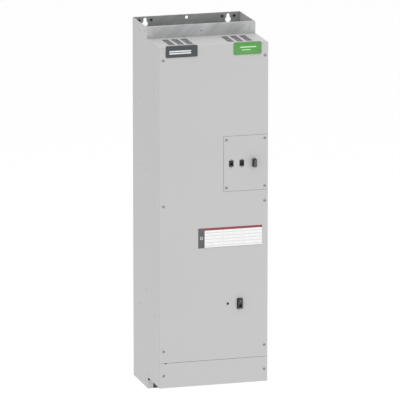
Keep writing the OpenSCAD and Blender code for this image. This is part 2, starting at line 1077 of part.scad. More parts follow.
module board_standoffs() {
    gap = 0.2;
    color("#c8b04a")
        hung() {
            for (i = [6, boards[0][2] - 6], j = [6, boards[0][3] - 6])
                translate([boards[0][0] + i, 0, floor_z + boards[0][1] + 40 + j])
                    rod_y(4, board_y - 30 + 1.6, divider_y);
            for (i = [6, boards[1][2] - 6], j = [6, boards[1][3] - 6])
                translate([boards[1][0] + i, 0, floor_z + boards[1][1] + 40 + j])
                    rod_y(4, divider_y - 22 + 1.6, divider_y);
        }
}

// Row of terminals with wire mouths below and screw wells in front
module mains_terminal_block() {
    pole_w = 26;
    pole_count = 6;
    block_h = 70;
    block_d = 60;
    block_z = floor_z + 130;
    color("#6d7073")
        hung()
            translate([-pole_w * pole_count / 2, divider_y - block_d, block_z])
                difference() {
                    cube([pole_w * pole_count, block_d, block_h]);
                    for (i = [0 : pole_count - 1]) {
                        translate([(i + 0.5) * pole_w, block_d / 2, -1])
                            cylinder(r = 8, h = 26);
                        translate([(i + 0.5) * pole_w, 0, block_h / 2])
                            rod_y(6, -1, 20);
                    }
                    for (i = [1 : pole_count - 1])
                        translate([i * pole_w - 1, -1, -1])
                            cube([2, 16, block_h + 2]);
                }
}

module earth_bar() {
    color("#b8a05a")
        hung()
            difference() {
                translate([-120, divider_y - 6, floor_z + 40])
                    cube([240, 6, 24]);
                for (x = [-100 : 25 : 100])
                    translate([x, 0, floor_z + 52])
                        rod_y(4, divider_y - 7, divider_y + 1);
            }
}

// Charging contactor with its terminal ledges and raised middle
module contactor() {
    color("#4a4d50")
        hung()
            translate([-150, divider_y - 90, floor_z + 270]) {
                translate([0, 40, 0])
                    cube([80, 50, 110]);
                translate([0, 15, 18])
                    cube([80, 25 + eps, 74]);
                translate([12, 0, 30])
                    cube([56, 15 + eps, 50]);
            }
}

// Three cylindrical fuses lying in a common carrier
module line_fuses() {
    fuse_pitch = 40;
    color("#d9d6cd")
        hung()
            translate([-20, divider_y - 30, floor_z + 270]) {
                translate([0, 16, 0])
                    cube([fuse_pitch * 3 + 10, 14, 110]);
                for (i = [0 : 2])
                    translate([25 + i * fuse_pitch, 2, 8]) {
                        cylinder(r = 13, h = 94);
                        for (z = [-2, 82])
                            translate([0, 0, z])
                                cylinder(r = 14, h = 14);
                    }
            }
}

back_sheet();
left_side_panel();
right_side_panel();
upper_duct_wall();
lower_duct_wall();
duct_divider();
roof_plate();
floor_plate();
gland_plate();
main_cover();
lower_cover();
control_panel();
panel_bracket();
left_badge();
right_badge();
rating_plate();
cover_screws();
panel_screws();
side_rivets();
left_data_socket();
right_data_socket();
socket_screws();
selector_body();
selector_knob();
breaker_body();
breaker_lever();
indicator_lens();
inlet_grille();
fan_plate();
left_fan_frame();
right_fan_frame();
left_fan_rotor();
right_fan_rotor();
left_fan_guard();
right_fan_guard();
heatsink();
for (i = [1 : 3])
    power_module(i);
rectifier_module();
for (i = [1 : capacitor_count])
    dc_capacitor(i);
capacitor_bracket();
positive_bus_bar();
negative_bus_bar();
choke_core();
for (i = [1 : 3])
    choke_winding(i);
control_board();
power_supply_board();
gate_driver_board();
board_standoffs();
mains_terminal_block();
earth_bar();
contactor();
line_fuses();
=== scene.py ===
import math
import random

import bmesh
import bpy
from mathutils import Matrix, Vector


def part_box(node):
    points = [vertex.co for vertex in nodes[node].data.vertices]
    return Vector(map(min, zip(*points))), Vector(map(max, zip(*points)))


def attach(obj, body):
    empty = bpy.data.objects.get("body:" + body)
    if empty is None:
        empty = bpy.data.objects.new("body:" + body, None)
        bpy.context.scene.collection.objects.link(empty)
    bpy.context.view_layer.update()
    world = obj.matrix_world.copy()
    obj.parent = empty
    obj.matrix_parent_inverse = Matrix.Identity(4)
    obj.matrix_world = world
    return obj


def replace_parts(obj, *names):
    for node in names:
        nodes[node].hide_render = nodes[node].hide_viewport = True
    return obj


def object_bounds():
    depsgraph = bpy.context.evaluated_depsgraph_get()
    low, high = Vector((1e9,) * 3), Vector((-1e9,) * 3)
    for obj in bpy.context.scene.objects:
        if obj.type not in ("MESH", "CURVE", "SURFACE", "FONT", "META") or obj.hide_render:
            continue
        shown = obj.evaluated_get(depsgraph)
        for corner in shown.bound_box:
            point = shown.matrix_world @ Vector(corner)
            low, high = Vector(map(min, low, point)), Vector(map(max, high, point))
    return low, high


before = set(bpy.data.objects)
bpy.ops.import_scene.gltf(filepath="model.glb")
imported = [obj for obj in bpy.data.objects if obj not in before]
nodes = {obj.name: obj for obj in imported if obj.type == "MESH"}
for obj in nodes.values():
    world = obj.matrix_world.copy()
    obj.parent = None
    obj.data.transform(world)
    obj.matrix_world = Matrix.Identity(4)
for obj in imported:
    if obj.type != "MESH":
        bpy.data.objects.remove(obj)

cad_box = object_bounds()


# ---- Room ------------------------------------------------------------------------------------
# A pale seamless floor well below the hanging cabinet, an even bright sky and two large soft
# lights. The camera stands far back on the cabinet's left with a long lens, a little above it.
view_azimuth = math.radians(-15.806)
view_elevation = math.radians(13.228)
view_distance = 19.44
aim = Vector((0.0, -0.1875, -0.6495))
toward = Vector((math.sin(view_azimuth) * math.cos(view_elevation),
                 -math.cos(view_azimuth) * math.cos(view_elevation),
                 math.sin(view_elevation)))
camera_data = bpy.data.cameras.new("camera")
camera_data.sensor_width = 36.0
camera_data.lens = 464.6
camera_data.clip_end = 100.0
camera = bpy.data.objects.new("camera", camera_data)
camera.location = aim + toward * view_distance
camera.rotation_euler = (-toward).to_track_quat("-Z", "Y").to_euler()
bpy.context.scene.collection.objects.link(camera)
bpy.context.scene.camera = camera
bpy.context.scene.view_settings.view_transform = "Standard"

floor_reach = 60.0
floor_z = cad_box[0][2] - 1.1
floor_mesh = bpy.data.meshes.new("floor")
floor_mesh.from_pydata([(-floor_reach, -floor_reach, floor_z), (floor_reach, -floor_reach, floor_z),
                        (floor_reach, floor_reach, floor_z), (-floor_reach, floor_reach, floor_z)],
                       [], [(0, 1, 2, 3)])
floor = bpy.data.objects.new("floor", floor_mesh)
bpy.context.scene.collection.objects.link(floor)
floor_finish = bpy.data.materials.new("floor_card")
floor_finish.use_nodes = True
floor_shader = floor_finish.node_tree.nodes["Principled BSDF"]
floor_shader.inputs["Base Color"].default_value = (0.985, 0.985, 0.985, 1.0)
floor_shader.inputs["Roughness"].default_value = 0.9
floor_mesh.materials.append(floor_finish)

sky = bpy.data.worlds.new("sky")
sky.use_nodes = True
sky.node_tree.nodes["Background"].inputs["Color"].default_value = (1.0, 1.0, 1.0, 1.0)
sky.node_tree.nodes["Background"].inputs["Strength"].default_value = 1.0
bpy.context.scene.world = sky


def soft_light(name, place, size, watts):
    lamp = bpy.data.lights.new(name, "AREA")
    lamp.shape = "RECTANGLE"
    lamp.size, lamp.size_y = size
    lamp.energy = watts
    holder = bpy.data.objects.new(name, lamp)
    holder.location = place
    holder.rotation_euler = (aim - Vector(place)).to_track_quat("-Z", "Y").to_euler()
    bpy.context.scene.collection.objects.link(holder)


soft_light("overhead", (0.0, -0.6, 3.2), (3.5, 3.5), 34.0)
soft_light("front_box", (1.2, -4.2, -0.4), (2.0, 3.0), 22.0)


# ---- Folded sheets of the air duct -----------------------------------------------------------
# The back sheet, the two walls across the duct's front and the shelves inside are bare
# hot-dip galvanised steel, laser cut and folded. Cut edges are broken by tumbling. The lower
# wall is tinted near black, which is painted shade for the shadow under the front box.
MM = 0.001
WELD = 0.01 * MM


def new_finish(name):
    finish = bpy.data.materials.new(name)
    finish.use_nodes = True
    return finish, finish.node_tree, finish.node_tree.nodes["Principled BSDF"]


def wire_in(tree, kind, feeds=None, **settings):
    """Adds a node, sets it, and feeds its sockets with plain values or other nodes' outputs."""
    made = tree.nodes.new(kind)
    for key, value in settings.items():
        setattr(made, key, value)
    for socket, source in (feeds or {}).items():
        if isinstance(source, bpy.types.NodeSocket):
            tree.links.new(source, made.inputs[socket])
        else:
            made.inputs[socket].default_value = source
    return made


def fed(tree, kind, feeds=None, **settings):
    """The first output of a node added in the same way."""
    return wire_in(tree, kind, feeds, **settings).outputs[0]


def maths(tree, operation, first, second):
    return fed(tree, "ShaderNodeMath", {0: first, 1: second}, operation=operation)


def noise(tree, place, scale, detail=2.0):
    return fed(tree, "ShaderNodeTexNoise", {"Vector": place, "Scale": scale, "Detail": detail})


def object_place(tree):
    return wire_in(tree, "ShaderNodeTexCoord").outputs["Object"]


def blend_tints(tree, amount, dark, light):
    """Colour between two tints. Either may be a colour or another node's output."""
    pair = wire_in(tree, "ShaderNodeMix", {0: amount}, data_type="RGBA")
    for socket, tint in ((6, dark), (7, light)):
        if isinstance(tint, bpy.types.NodeSocket):
            tree.links.new(tint, pair.inputs[socket])
        else:
            pair.inputs[socket].default_value = (*tint, 1.0)
    return pair.outputs[2]


def span(tree, source, low, high, start=0.3, end=0.7):
    """Stretches a 0 to 1 pattern so that start to end comes out as low to high."""
    return wire_in(tree, "ShaderNodeMapRange", {"Value": source, "From Min": start, "From Max": end,
                                                "To Min": low, "To Max": high}).outputs["Result"]


def relief(tree, shader, height, depth, strength=1.0):
    """Fine surface relief of the given depth in metres, from a 0 to 1 pattern."""
    bump = fed(tree, "ShaderNodeBump", {"Height": height, "Strength": strength, "Distance": depth})
    tree.links.new(bump, shader.inputs["Normal"])


def galvanised(name, dark, light, streak_turn):
    """Zinc skin: frosty spangle, soft streaks laid over at an angle that are partly rolling marks and
    partly painted reflection, fine pitting.
    """
    finish, tree, shader = new_finish(name)
    place = object_place(tree)
    leaning = fed(tree, "ShaderNodeMapping", {"Vector": place, "Rotation": streak_turn})
    drawn_out = fed(tree, "ShaderNodeMapping", {"Vector": leaning, "Scale": (3.0, 3.0, 38.0)})
    streaks_and_painted_reflection = fed(tree, "ShaderNodeTexNoise", {"Vector": drawn_out, "Scale": 1.0, "Detail": 4.0,
                                               "Roughness": 0.6})
    cell = wire_in(tree, "ShaderNodeTexVoronoi", {"Vector": place, "Scale": 120.0}).outputs["Color"]
    frost = fed(tree, "ShaderNodeSeparateColor", {"Color": cell})
    # The streaks lighten the colour: partly the zinc's own rolling marks, partly a painted reflection.
    amount = maths(tree, "ADD", span(tree, streaks_and_painted_reflection, 0.0, 0.8, 0.35, 0.65),
                   span(tree, frost, 0.0, 0.2, 0.0, 1.0))
    tree.links.new(blend_tints(tree, amount, dark, light), shader.inputs["Base Color"])
    tree.links.new(span(tree, frost, 0.38, 0.56, 0.0, 1.0), shader.inputs["Roughness"])
    relief(tree, shader, noise(tree, place, 900.0), 0.2 * MM, 0.25)
    shader.inputs["Metallic"].default_value = 0.7
    return finish


def shown(name, mesh, finishes, body):
    """Links a finished mesh as a piece that rides on a body and wears the finishes it is given."""
    piece = bpy.data.objects.new(name, mesh)
    bpy.context.scene.collection.objects.link(piece)
    for finish in finishes:
        mesh.materials.append(finish)
    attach(piece, body)
    return piece


def eased_sheet(name, ease, finish, body="cabinet"):
    """A folded sheet with its long cut edges rounded over, in place of the plain one."""
    shortest_edge, least_fold = 8 * MM, 0.8
    sheet = bmesh.new()
    sheet.from_mesh(nodes[name].data)
    bmesh.ops.remove_doubles(sheet, verts=sheet.verts, dist=WELD)
    bmesh.ops.dissolve_limit(sheet, angle_limit=math.radians(0.5), verts=sheet.verts, edges=sheet.edges)
    sharp = [e for e in sheet.edges if e.is_manifold and e.calc_length() > shortest_edge
             and e.calc_face_angle(0.0) > least_fold]
    bmesh.ops.bevel(sheet, geom=sharp, offset=ease, offset_type="OFFSET", segments=2, profile=0.5,
                    affect="EDGES", clamp_overlap=True)
    bmesh.ops.triangulate(sheet, faces=[f for f in sheet.faces if len(f.verts) > 4])
    mesh = bpy.data.meshes.new(name + "_eased")
    sheet.to_mesh(mesh)
    sheet.free()
    mesh.shade_flat()
    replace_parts(shown(name + "_eased", mesh, [finish], body), name)


def refinished(finish, *names):
    """CAD pieces whose shape is right as it is get a finish only."""
    for name in names:
        mesh = nodes[name].data
        mesh.materials.clear()
        mesh.materials.append(finish)


streak_lean, shelf_lean = (0.0, 0.75, 0.0), (0.3, 0.2, 0.9)
duct_zinc = galvanised("duct_zinc", (0.36, 0.365, 0.37), (0.47, 0.475, 0.48), streak_lean)
# Painted shade: the lower duct wall's near-black zinc stands in for the shadow under the front box.
painted_shade_zinc = galvanised("painted_shade_zinc", (0.02, 0.02, 0.021), (0.05, 0.05, 0.052), streak_lean)
shelf_zinc = galvanised("shelf_zinc", (0.26, 0.265, 0.27), (0.44, 0.445, 0.45), shelf_lean)
tumbled_edge = 0.5 * MM
eased_sheet("back_sheet", tumbled_edge, duct_zinc)
eased_sheet("upper_duct_wall", tumbled_edge, duct_zinc)
eased_sheet("lower_duct_wall", tumbled_edge, painted_shade_zinc)
refinished(shelf_zinc, "duct_divider", "panel_bracket", "inlet_grille", "fan_plate", "gland_plate",
           "capacitor_bracket")


# ---- Painted shell ---------------------------------------------------------------------------
# Side panels, roof, floor, covers and the control panel are folded steel with a light grey
# powder coat, baked on. It has a fine orange peel and rounds every cut edge a little.
def powder_coat(name, shade, lift):
    """Baked powder coat: fine orange peel, a faint cloudiness in shade and in gloss, and painted light that
    makes it lighter towards the foot.
    """
    top_z, foot_z = 0.0, -1.3
    finish, tree, shader = new_finish(name)
    place = object_place(tree)
    height = wire_in(tree, "ShaderNodeSeparateXYZ", {"Vector": place}).outputs["Z"]
    # Painted light: the colour runs from the darker tint at the top to the lighter lift tint at the foot,
    # on top of the random cloudiness.
    painted_light_towards_foot = span(tree, height, 1.0, 0.0, foot_z, top_z)
    amount = maths(tree, "ADD", span(tree, noise(tree, place, 6.0, 3.0), 0.0, 0.35), painted_light_towards_foot)
    tree.links.new(blend_tints(tree, amount, shade, lift), shader.inputs["Base Color"])
    peel = noise(tree, place, 420.0)
    tree.links.new(span(tree, peel, 0.40, 0.52), shader.inputs["Roughness"])
    relief(tree, shader, peel, 0.3 * MM, 0.35)
    return finish


panel_paint = powder_coat("panel_paint", (0.452, 0.452, 0.45), (0.468, 0.468, 0.466))
for painted in ("left_side_panel", "right_side_panel", "roof_plate", "floor_plate"):
    eased_sheet(painted, 0.6 * MM, panel_paint)
for painted in ("main_cover", "lower_cover", "control_panel"):
    eased_sheet(painted, 0.8 * MM, panel_paint)


# ---- Blind rivets of the side panels ---------------------------------------------------------
# Domed aluminium rivets hold the shelves, with the small pit where the pulling pin broke off.
# They are painted over, and the thin coat on them looks darker than the panels.
def turned_part(name, profile, steps=32, carve=None):
    """A closed mesh turned about Z from (radius, height) in mm. Carve lowers points, in mm."""
    smooth_up_to = 0.7
    turned = bmesh.new()
    rings = []
    for radius, height in profile:
        ring = []
        for k in range(steps if radius else 1):
            angle = 2 * math.pi * k / steps
            drop = carve(radius, angle, height) if carve else 0.0
            ring.append(turned.verts.new((radius * MM * math.cos(angle), radius * MM * math.sin(angle),
                                          (height - drop) * MM)))
        rings.append(ring)
    for inner, outer in zip(rings, rings[1:]):
        for k in range(steps):
            corners = [inner[k % len(inner)], outer[k % len(outer)],
                       outer[(k + 1) % len(outer)], inner[(k + 1) % len(inner)]]
            corners = [c for i, c in enumerate(corners) if c not in corners[:i]]
            if len(corners) > 2:
                turned.faces.new(corners)
    bmesh.ops.recalc_face_normals(turned, faces=turned.faces)
    mesh = bpy.data.meshes.new(name)
    turned.to_mesh(mesh)
    turned.free()
    mesh.shade_smooth()
    mesh.set_sharp_from_angle(angle=smooth_up_to)
    return mesh


def solids_of(name):
    """(lowest, highest) corner of each separate solid in a CAD piece."""
    merged = bmesh.new()
    merged.from_mesh(nodes[name].data)
    bmesh.ops.remove_doubles(merged, verts=merged.verts, dist=WELD)
    found, seen = [], set()
    for start in merged.verts:
        if start in seen:
            continue
        group, edge_of = [], [start]
        seen.add(start)
        while edge_of:
            vert = edge_of.pop()
            group.append(vert.co.copy())
            for edge in vert.link_edges:
                other = edge.other_vert(vert)
                if other not in seen:
                    seen.add(other)
                    edge_of.append(other)
        found.append((Vector([min(c[i] for c in group) for i in range(3)]),
                      Vector([max(c[i] for c in group) for i in range(3)])))
    merged.free()
    return found


def new_tree(name, inputs):
    """An empty node group with named inputs, a finish and one geometry output."""
    tree = bpy.data.node_groups.new(name, "GeometryNodeTree")
    for wanted, kind in [*inputs, ("Finish", "Material")]:
        tree.interface.new_socket(wanted, in_out="INPUT", socket_type="NodeSocket" + kind)
    tree.interface.new_socket("Result", in_out="OUTPUT", socket_type="NodeSocketGeometry")
    return tree, tree.nodes.new("NodeGroupInput").outputs


def placed_on(tree, points, instance, **more):
    return fed(tree, "GeometryNodeInstanceOnPoints", {"Points": points, "Instance": instance, **more})


def made_real(tree, geometry):
    return fed(tree, "GeometryNodeRealizeInstances", {0: geometry})


def ended(tree, given, geometry):
    """Ends a tree: real geometry that wears the finish it was given."""
    dressed = fed(tree, "GeometryNodeSetMaterial", {"Geometry": made_real(tree, geometry),
                                                    "Material": given["Finish"]})
    tree.links.new(dressed, tree.nodes.new("NodeGroupOutput").inputs[0])
    return tree


def fastener_tree():
    """Sets one copy of a part on every seat point, faced along the seat and turned at random."""
    tree, given = new_tree("fasteners", [("Seats", "Geometry"), ("Part", "Object"),
                                         ("Turn spread", "Float"), ("Seed", "Int")])
    part = wire_in(tree, "GeometryNodeObjectInfo", {"Object": given["Part"]}).outputs["Geometry"]
    facing = fed(tree, "GeometryNodeInputNamedAttribute", {"Name": "facing"}, data_type="FLOAT_VECTOR")
    stood = fed(tree, "FunctionNodeAlignRotationToVector", {"Vector": facing}, axis="Z")
    least = maths(tree, "MULTIPLY", given["Turn spread"], -1.0)
    spin = wire_in(tree, "FunctionNodeRandomValue", {2: least, 3: given["Turn spread"],
                                                     "Seed": given["Seed"]}, data_type="FLOAT")
    about_z = fed(tree, "ShaderNodeCombineXYZ", {"Z": spin.outputs[1]})
    turn = fed(tree, "FunctionNodeEulerToRotation", {0: about_z})
    final = fed(tree, "FunctionNodeRotateRotation", {0: stood, 1: turn}, rotation_space="LOCAL")
    return ended(tree, given, placed_on(tree, given["Seats"], part, Rotation=final))


def grown(name, base_mesh, tree, values, finish):
    """Runs a node tree on a mesh, with its named inputs set, and keeps the plain result."""
    holder = bpy.data.objects.new(name + "_seats", base_mesh)
    bpy.context.scene.collection.objects.link(holder)
    growth = holder.modifiers.new("growth", "NODES")
    growth.node_group = tree
    named = {item.name: item.identifier for item in tree.interface.items_tree if item.in_out == "INPUT"}
    for key, value in {**values, "Finish": finish}.items():
        growth[named[key]] = value
    depsgraph = bpy.context.evaluated_depsgraph_get()
    mesh = bpy.data.meshes.new_from_object(holder.evaluated_get(depsgraph), depsgraph=depsgraph)
    holder.modifiers.remove(growth)
    bpy.data.objects.remove(holder)
    mesh.name = name
    mesh.materials.clear()
    return shown(name, mesh, [finish], "cabinet")


fasteners = fastener_tree()
ANY_TURN = 3.1


def set_parts(name, seats, part_mesh, finish, turn_spread=0.0, seed=1):
    """Sets a part on each seat, given as (place, outward direction)."""
    points = bpy.data.meshes.new(name + "_points")
    points.from_pydata([tuple(place) for place, facing in seats], [], [])
    facings = points.attributes.new("facing", "FLOAT_VECTOR", "POINT")
    for k, (place, facing) in enumerate(seats):
        facings.data[k].vector = facing
    part = bpy.data.objects.new(name + "_part", part_mesh)
    bpy.context.scene.collection.objects.link(part)
    piece = grown(name, points, fasteners, {"Part": part, "Turn spread": turn_spread, "Seed": seed},
                  finish)
    bpy.data.objects.remove(part)
    return piece


def speckled(name, dark, light, patch, rough, grain, depth, metallic=0.0, stretch=(1.0, 1.0, 1.0)):
    """Mottled finish: cloudy tint, gloss that follows it, and a grain in relief, depth in mm."""
    finish, tree, shader = new_finish(name)
    along = fed(tree, "ShaderNodeMapping", {"Vector": object_place(tree), "Scale": stretch})
    cloud = noise(tree, along, patch, 4.0)
    tint = blend_tints(tree, span(tree, cloud, 0.0, 1.0), dark, light)
    tree.links.new(tint, shader.inputs["Base Color"])
    tree.links.new(span(tree, cloud, *rough), shader.inputs["Roughness"])
    relief(tree, shader, noise(tree, along, grain), depth * MM, 0.5)
    shader.inputs["Metallic"].default_value = metallic
    return finish


def middle_of(low, high):
    return (low.x + high.x) / 2, (low.y + high.y) / 2, (low.z + high.z) / 2


rivet_crown = 0.8 * MM
rivet_seats = []
for low, high in solids_of("side_rivets"):
    outward = -1.0 if low.x < 0 else 1.0
    skin_x = low.x + rivet_crown if outward < 0 else high.x - rivet_crown
    rivet_seats.append(((skin_x, *middle_of(low, high)[1:]), (outward, 0.0, 0.0)))
rivet_head = turned_part("rivet_head", [(0.0, 0.0), (3.4, 0.0), (3.3, 0.25), (2.9, 0.55), (2.2, 0.75),
                                        (1.5, 0.8), (1.2, 0.78), (1.0, 0.3), (0.0, 0.25)])
rivet_paint = speckled("rivet_paint", (0.26, 0.26, 0.26), (0.34, 0.34, 0.34), 300.0, (0.4, 0.55),
                       1800.0, 0.05)
rivets = set_parts("painted_rivets", rivet_seats, rivet_head, rivet_paint, ANY_TURN, 4)
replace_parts(rivets, "side_rivets")


# ---- Screws of the covers, the control panel and the sockets ---------------------------------
# Zinc-plated pan-head machine screws with a cross recess. Each was driven home by hand, so no
# two recesses stand at the same angle.
def cross_recess(radius, arm, depth):
    """Depth of a cross recess under a head's crown, at a radius and an angle."""
    def carve(r, angle, height):
        across = min(abs(r * math.sin(angle)), abs(r * math.cos(angle)))
        if height <= 0.0 or r > radius or across > arm:
            return 0.0
        return depth * (1.0 - 0.5 * r / radius)
    return carve


def crown_profile(radius, height, edge, rings=10):
    """From a rim's foot up a short wall and over a low crown to the axis."""
    profile = [(radius, edge)]
    for k in range(1, rings):
        turn = 0.5 * math.pi * k / rings
        profile.append((radius * math.cos(turn), edge + (height - edge) * math.sin(turn)))
    return profile + [(0.0, height)]


screw_zinc = speckled("screw_zinc", (0.20, 0.19, 0.20), (0.36, 0.35, 0.36), 300.0, (0.30, 0.45),
                      2500.0, 0.05, 0.85)
to_front = (0.0, -1.0, 0.0)
for screws, radius, height, shank_r in (("cover_screws", 5.0, 2.2, 2.3), ("panel_screws", 5.0, 2.2, 2.3),
                                        ("socket_screws", 2.4, 1.0, 1.3)):
    solids = solids_of(screws)
    seats = []
    for low, high in solids:
        x, y, z = middle_of(low, high)
        seats.append(((x, low.y + height * MM, z), to_front))
    low, high = solids[-1]
    shank = (high.y - low.y) / MM - height
    profile = [(0.0, -shank), (shank_r, -shank), (shank_r, 0.0), (radius, 0.0)]
    screw = turned_part(screws + "_screw", profile + crown_profile(radius, height, 0.45 * height), 48,
                        cross_recess(0.62 * radius, 0.16 * radius, 0.6 * height))
    driven = set_parts("driven_" + screws, seats, screw, screw_zinc, ANY_TURN, 11)
    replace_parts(driven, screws)


# ---- Blind nuts of the back sheet ------------------------------------------------------------
# Blackened press-in nuts on either side of each keyhole. A round head bears on the sheet, a
# shank fills the hole, and the bore is threaded.
def corners_of(name):
    """Lowest and highest corner of a CAD piece."""
    return [Vector(corner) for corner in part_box(name)]


keyhole_pitch, nut_off, nut_up = 325 * MM, 23.6 * MM, 13.8 * MM
sheet_front = corners_of("back_sheet")[1].y - 2.55 * MM
nut_seats = [((side * keyhole_pitch / 2 + x, sheet_front, nut_up), to_front)
             for side in (-1, 1) for x in (-nut_off, nut_off)]
nut = turned_part("press_nut", [(0.0, -2.1), (3.9, -2.1), (3.95, 0.0), (5.2, 0.0), (5.5, 0.3), (5.5, 2.6),
                                (5.1, 3.0), (3.5, 3.0), (3.0, 2.6), (2.8, 2.2), (3.0, 1.8), (2.8, 1.4),
                                (3.0, 1.0), (2.8, -0.8), (0.0, -1.0)])
nut_plating = speckled("nut_plating", (0.05, 0.05, 0.05), (0.10, 0.10, 0.10), 200.0, (0.4, 0.55),
                       2000.0, 0.05, 0.6)
set_parts("pressed_nuts", nut_seats, nut, nut_plating, ANY_TURN, 2)


# ---- Badges hung over the covers' top edge ---------------------------------------------------
# Moulded plastic tablets with a raised rim round a sunk field, clipped over the sheet by a lip
# behind. The fields carry plain light bars where a maker would print a name.
def corner_loop(width, height, corner, per_corner=7):
    """Points of a rounded rectangle, counter-clockwise, centred."""
    loop = []
    for k, (sx, sz) in enumerate(((1, 1), (-1, 1), (-1, -1), (1, -1))):
        for j in range(per_corner):
            turn = 0.5 * math.pi * (k + j / (per_corner - 1))
            loop.append((sx * (width / 2 - corner) + corner * math.cos(turn),
                         sz * (height / 2 - corner) + corner * math.sin(turn)))
    return loop


def tablet(name, back, width, height, corner, levels):
    """A moulded block that faces the front. Levels are (inset, height above the back, tint), in
    mm as the sizes are. Back is the middle of its back face."""
    least_corner, smooth_up_to = 0.15, 0.35
    block = bmesh.new()
    rings = []
    for inset, out, tint in levels:
        loop = corner_loop(width - 2 * inset, height - 2 * inset, max(corner - inset, least_corner))
        rings.append([block.verts.new((back[0] + x * MM, back[1] - out * MM, back[2] + z * MM))
                      for x, z in loop])
    count = len(rings[0])
    for (*_, tint), lower, upper in zip(levels[1:], rings, rings[1:]):
        for k in range(count):
            side = block.faces.new((lower[k], lower[(k + 1) % count], upper[(k + 1) % count], upper[k]))
            side.material_index = tint
    block.faces.new(list(reversed(rings[0]))).material_index = levels[0][2]
    block.faces.new(rings[-1]).material_index = levels[-1][2]
    bmesh.ops.recalc_face_normals(block, faces=block.faces)
    mesh = bpy.data.meshes.new(name)
    block.to_mesh(mesh)
    block.free()
    mesh.shade_smooth()
    mesh.set_sharp_from_angle(angle=smooth_up_to)
    return mesh


def joined_mesh(name, meshes):
    """One mesh of several closed shells."""
    whole = bmesh.new()
    for mesh in meshes:
        whole.from_mesh(mesh)
    joined = bpy.data.meshes.new(name)
    whole.to_mesh(joined)
    whole.free()
    for mesh in meshes:
        bpy.data.meshes.remove(mesh)
    return joined


def badge(name, finishes, bars):
    """Rim, sunk field, bars laid on the field, and the lip behind, all inside the CAD badge."""
    face_t, field_out, lip_drop, lip_t = 3.0, 2.25, 2.5, 2.9
    low, high = corners_of(name)
    back_y = low.y + face_t * MM
    x, y, z = middle_of(low, high)
    width, height = (high.x - low.x) / MM, (high.z - low.z) / MM
    parts = [tablet(name + "_face", (x, back_y, z), width, height, 5,
                    [(0.0, 0.0, 0), (0.0, 2.1, 0), (0.3, 2.7, 0), (0.9, face_t, 0), (2.4, face_t, 0),
                     (2.8, 2.5, 1), (3.4, 2.3, 1)])]
    for along, up, bar_w, bar_h in bars:
        place = (x + along * MM, back_y - field_out * MM, z + up * MM)
        parts.append(tablet(name + "_bar", place, bar_w, bar_h, 0.45 * bar_h,
                            [(0.0, 0.0, 2), (0.0, 0.35, 2), (0.2, 0.5, 2)]))
    lip_reach = (high.y - back_y) / MM - 0.01
    parts.append(tablet(name + "_lip", (x, high.y, high.z - lip_drop * MM), width - 10, lip_t, 0.5,
                        [(0.4, 0.0, 0), (0.0, 0.4, 0), (0.0, lip_reach, 0)]))
    piece = shown(name + "_moulded", joined_mesh(name + "_moulded", parts), finishes, "cabinet")
    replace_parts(piece, name)


charcoal = [speckled("charcoal_shell", (0.042, 0.049, 0.056), (0.052, 0.059, 0.066), 40.0, (0.34, 0.46),
                     1800.0, 0.04),
            speckled("charcoal_field", (0.040, 0.047, 0.054), (0.048, 0.055, 0.062), 60.0, (0.45, 0.6),
                     2600.0, 0.05),
            speckled("badge_print", (0.62, 0.64, 0.65), (0.74, 0.76, 0.77), 80.0, (0.4, 0.5), 2000.0, 0.03)]
green = [speckled("green_shell", (0.075, 0.235, 0.060), (0.09, 0.265, 0.07), 40.0, (0.30, 0.42),
                  1800.0, 0.04),
         speckled("green_field", (0.065, 0.26, 0.045), (0.08, 0.29, 0.058), 60.0, (0.34, 0.46),
                  2600.0, 0.05),
         speckled("green_print", (0.42, 0.72, 0.40), (0.52, 0.80, 0.50), 80.0, (0.4, 0.5), 2000.0, 0.03)]
badge("left_badge", charcoal, [(-6, 1.5, 84, 5.0), (-6, -6.5, 84, 5.0)])
badge("right_badge", green, [(2, 5.0, 62, 4.2), (-6, -5.5, 34, 3.0)])


# ---- Rating plate ----------------------------------------------------------------------------
# Printed polyester film on a thin aluminium plate, glued to the cover. A dark block with a
# plain round mark, a red strip along the top and three white fields with ruled grey lines.
def band(tree, along, start, end):
    """1 between two places along an axis, and 0 elsewhere."""
    after = maths(tree, "GREATER_THAN", along, start)
    before = maths(tree, "LESS_THAN", along, end)
    return maths(tree, "MULTIPLY", after, before)


